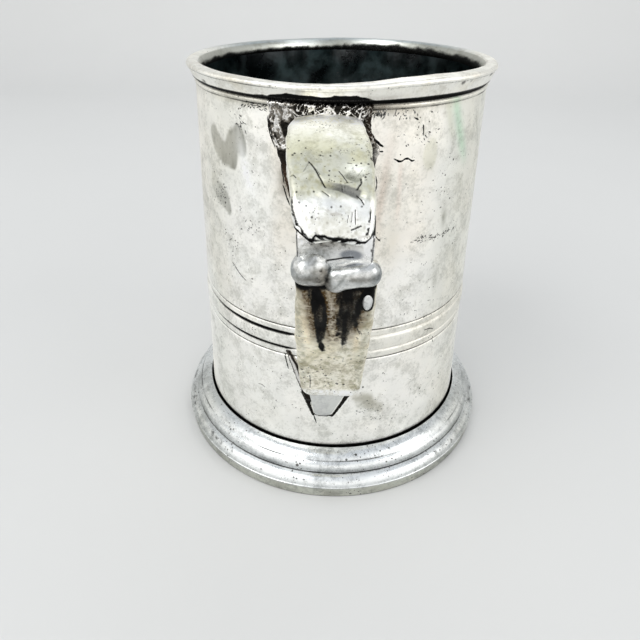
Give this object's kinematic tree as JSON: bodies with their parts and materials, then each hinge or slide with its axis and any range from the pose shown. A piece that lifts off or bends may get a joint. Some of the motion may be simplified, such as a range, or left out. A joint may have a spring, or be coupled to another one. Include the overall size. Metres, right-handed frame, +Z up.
{
  "type": "pewter tankard",
  "caption": "Lidless pewter tankard: tapered drum with incised band, flared lip, moulded foot and a broken-C strap handle with a soldered repair.",
  "frame": {"origin": "centre of the ring that the mug stands on, on the drum's axis, at table height", "axes": "+Z up along the drum's axis; the handle points towards -Y; +X is to the right when the handle faces the viewer"},
  "size_m": [0.1086, 0.1266, 0.12],
  "materials": {
    "body_pewter": "worn satin, fine pits and scratches, warm grey; dark tarnish inside",
    "foot_pewter": "cooler and brighter satin with dark lines in the mouldings",
    "handle_pewter": "matt, warm and scratched, with dents and brown-black stains",
    "neck_pewter": "smooth satin",
    "solder": "smooth bright run metal",
    "stained_solder": "lumpy, dark brown to black dirt over solder"
  },
  "bodies": {
    "root": {"drum": "body_pewter", "lip_ring": "body_pewter", "foot_ring": "foot_pewter", "base_plate": "foot_pewter", "base_solder_inner": "solder", "base_solder_under": "solder", "upper_handle": "handle_pewter", "handle_neck": "neck_pewter", "lower_handle": "handle_pewter", "tail_tongue": "foot_pewter", "vent_plug": "solder", "repair_bead_left": "solder", "repair_bead_right": "solder", "upper_root_solder": "stained_solder", "lower_root_solder": "stained_solder"}
  },
  "joints": []
}
